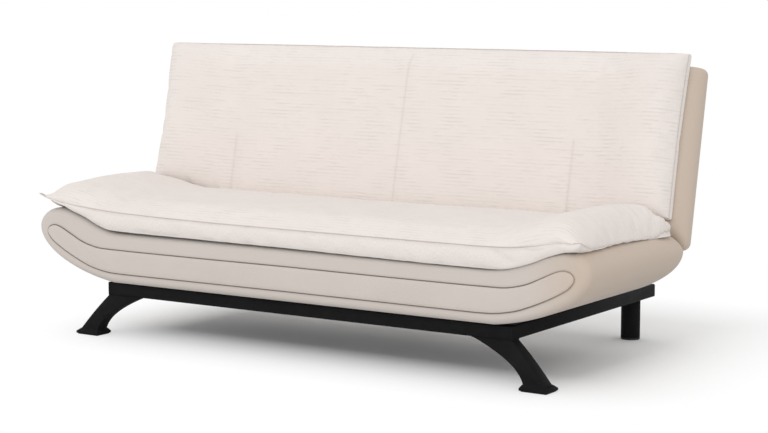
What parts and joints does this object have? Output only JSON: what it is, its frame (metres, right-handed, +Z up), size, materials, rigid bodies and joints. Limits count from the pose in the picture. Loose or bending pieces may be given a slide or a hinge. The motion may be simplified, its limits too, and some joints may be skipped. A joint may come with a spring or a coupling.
{
  "type": "click clack sofa bed",
  "caption": "Upholstered click clack sofa bed with boat-shaped seat and back, padded toppers and a black steel base on splayed front legs.",
  "frame": {"origin": "on the floor, at the middle of the footprint with the back up", "axes": "+X along the sofa to the right as seen from the front, +Y from the front towards the back, +Z up"},
  "size_m": [1.984, 0.9682, 0.9144],
  "materials": {
    "black_steel": "satin powder coat",
    "zinc_steel": "zinc plated",
    "spring_steel": "oiled",
    "black_rubber": "matt",
    "black_plastic": "matt",
    "plywood": "sanded, uncoated",
    "shell_fabric": "plain weave",
    "topper_fabric": "fine corded",
    "lining": "non-woven"
  },
  "bodies": {
    "base": {"base_welded_rail": "black_steel", "base_rear_rail": "black_steel", "base_centre_brace": "black_steel", "side_rail_cap_left": "black_plastic", "front_leg_left": "black_steel", "front_glide_left": "black_rubber", "rear_leg_left": "black_steel", "rear_glide_left": "black_plastic", "rear_leg_bolt_left": "zinc_steel", "seat_buffer_left": "black_rubber", "base_bracket_left": "black_steel", "bracket_bolt_left_1": "zinc_steel", "bracket_bolt_left_2": "zinc_steel", "pivot_pin_left": "zinc_steel", "pawl_pin_left": "zinc_steel", "pawl_spring_left": "spring_steel", "side_rail_cap_right": "black_plastic", "front_leg_right": "black_steel", "front_glide_right": "black_rubber", "rear_leg_right": "black_steel", "rear_glide_right": "black_plastic", "rear_leg_bolt_right": "zinc_steel", "seat_buffer_right": "black_rubber", "base_bracket_right": "black_steel", "bracket_bolt_right_1": "zinc_steel", "bracket_bolt_right_2": "zinc_steel", "pivot_pin_right": "zinc_steel", "pawl_pin_right": "zinc_steel", "pawl_spring_right": "spring_steel"},
    "seat": {"seat_front_rail": "black_steel", "seat_rear_rail": "black_steel", "seat_side_rail_left": "black_steel", "seat_side_rail_right": "black_steel", "seat_slat_1": "plywood", "seat_slat_2": "plywood", "seat_slat_3": "plywood", "seat_slat_4": "plywood", "seat_dust_cover": "lining", "seat_upholstery": "shell_fabric", "seat_topper": "topper_fabric", "seat_arm_left": "black_steel", "seat_arm_right": "black_steel"},
    "back": {"back_lower_rail": "black_steel", "back_upper_rail": "black_steel", "back_side_rail_left": "black_steel", "back_side_rail_right": "black_steel", "back_slat_1": "plywood", "back_slat_2": "plywood", "back_slat_3": "plywood", "back_slat_4": "plywood", "back_rear_cover": "shell_fabric", "back_upholstery": "shell_fabric", "back_topper": "topper_fabric", "back_arm_left": "black_steel", "back_arm_right": "black_steel"},
    "pawl_left": {"pawl_left": "zinc_steel"},
    "pawl_right": {"pawl_right": "zinc_steel"}
  },
  "joints": [
    {"name": "back_recline", "type": "hinge", "parent": "base", "child": "back", "pos_m": [0, 0.17285, 0.363], "axis": [-1, 0, 0], "range_deg": [0, 78.2]},
    {"name": "seat_lift", "type": "hinge", "parent": "base", "child": "seat", "pos_m": [0, 0.17285, 0.363], "axis": [-1, 0, 0], "range_deg": [0, 8]},
    {"name": "pawl_left_release", "type": "hinge", "parent": "base", "child": "pawl_left", "pos_m": [-0.709, 0.18785, 0.3153], "axis": [1, 0, 0], "range_deg": [0, 10]},
    {"name": "pawl_right_release", "type": "hinge", "parent": "base", "child": "pawl_right", "pos_m": [0.709, 0.18785, 0.3153], "axis": [1, 0, 0], "range_deg": [0, 10]}
  ],
  "couplings": [
    {"joint": "pawl_left_release", "follows": "seat_lift", "ratio": 1.25},
    {"joint": "pawl_right_release", "follows": "seat_lift", "ratio": 1.25}
  ]
}
